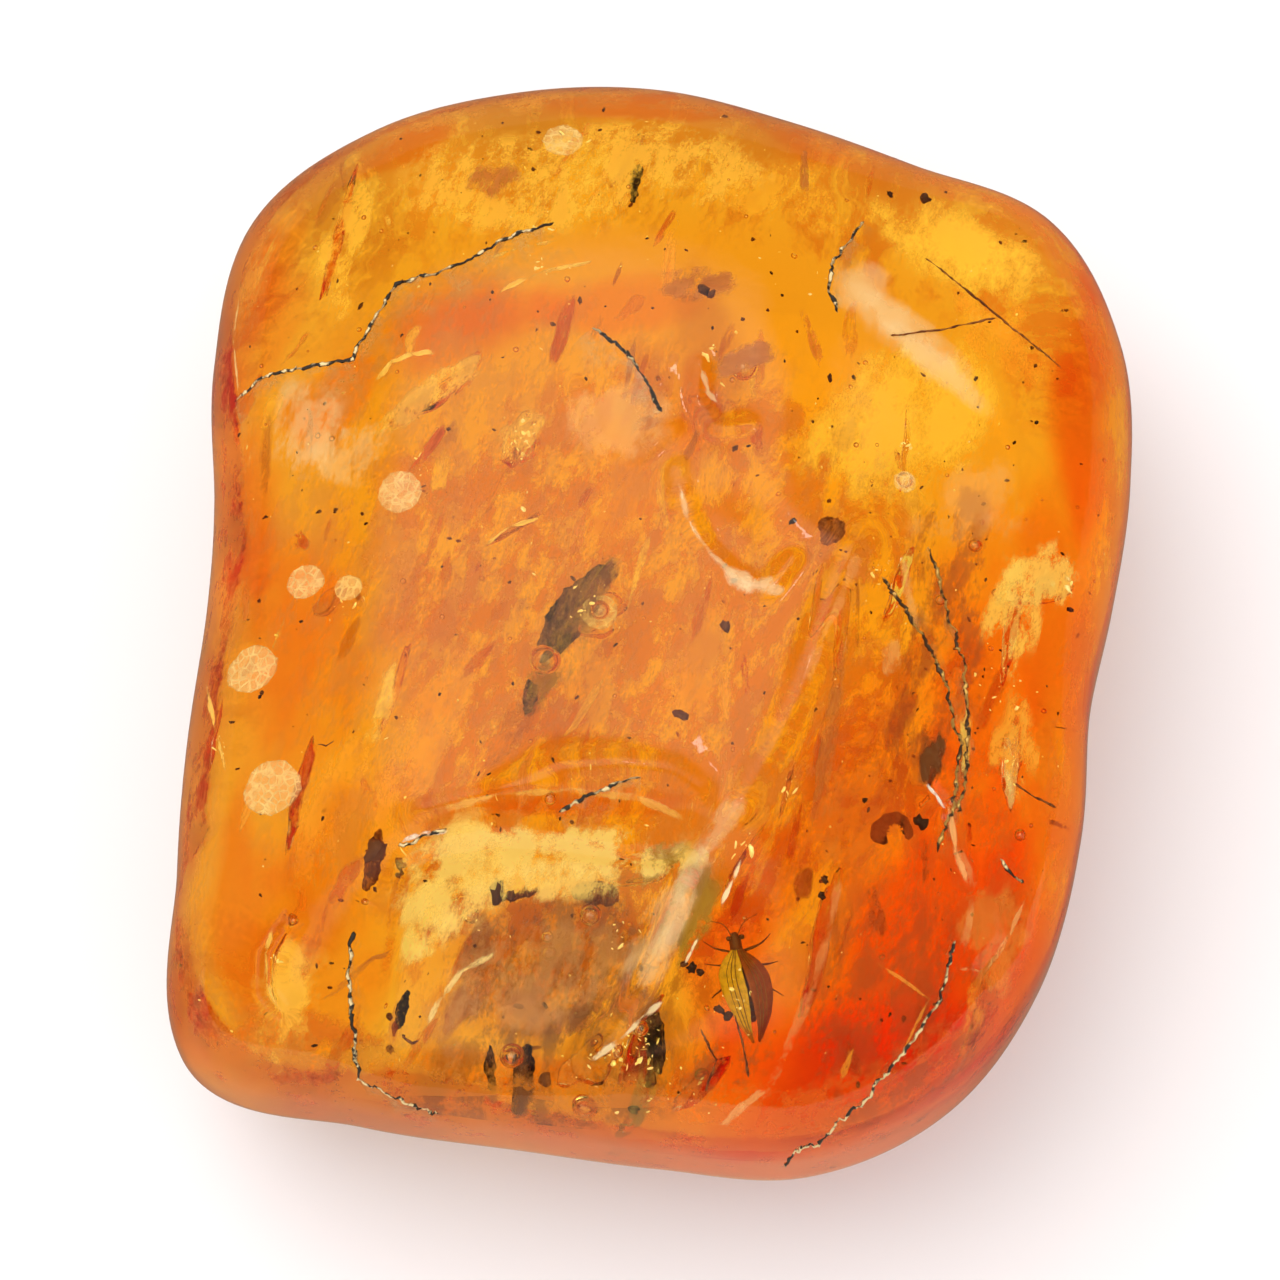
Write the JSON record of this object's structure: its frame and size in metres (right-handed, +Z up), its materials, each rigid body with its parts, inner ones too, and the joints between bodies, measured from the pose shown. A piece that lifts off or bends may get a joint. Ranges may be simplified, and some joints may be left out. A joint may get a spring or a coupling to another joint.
{
  "type": "amber nugget with fossil inclusions",
  "caption": "Polished honey-orange amber nugget, a rounded block worn flat below, with a folded-wing insect, a curled larva and scraps of bark and plant sealed in the clear resin",
  "frame": {"origin": "under the middle of the nugget's box, on the surface that it rests on", "axes": "+Z up out of the polished top, +Y from the front window to the rounded back edge, +X to the right seen from the front"},
  "size_m": [0.0431, 0.0504, 0.0198],
  "materials": {
    "amber": "polished clear resin, honey to deep orange with depth",
    "insect": "ochre wings with dark brown body",
    "larva": "dark red-brown chitin",
    "bark": "dark brown rotten wood",
    "plant": "olive-brown plant tissue",
    "flake": "red-brown leaf scrap"
  },
  "bodies": {
    "root": {"amber_lower": "amber", "amber_upper": "amber", "folded_wing_insect": "insect", "curled_larva": "larva", "bark_upright": "bark", "bark_splinter": "bark", "bark_clump": "bark", "sprig": "plant", "plant_shred": "plant", "shred_tail": "plant", "twig": "bark", "brown_flake": "flake", "stalk": "bark", "dark_seed": "larva", "leaf_scrap": "flake", "leaf_flake": "flake", "fibre_bundle": "flake"}
  },
  "joints": []
}
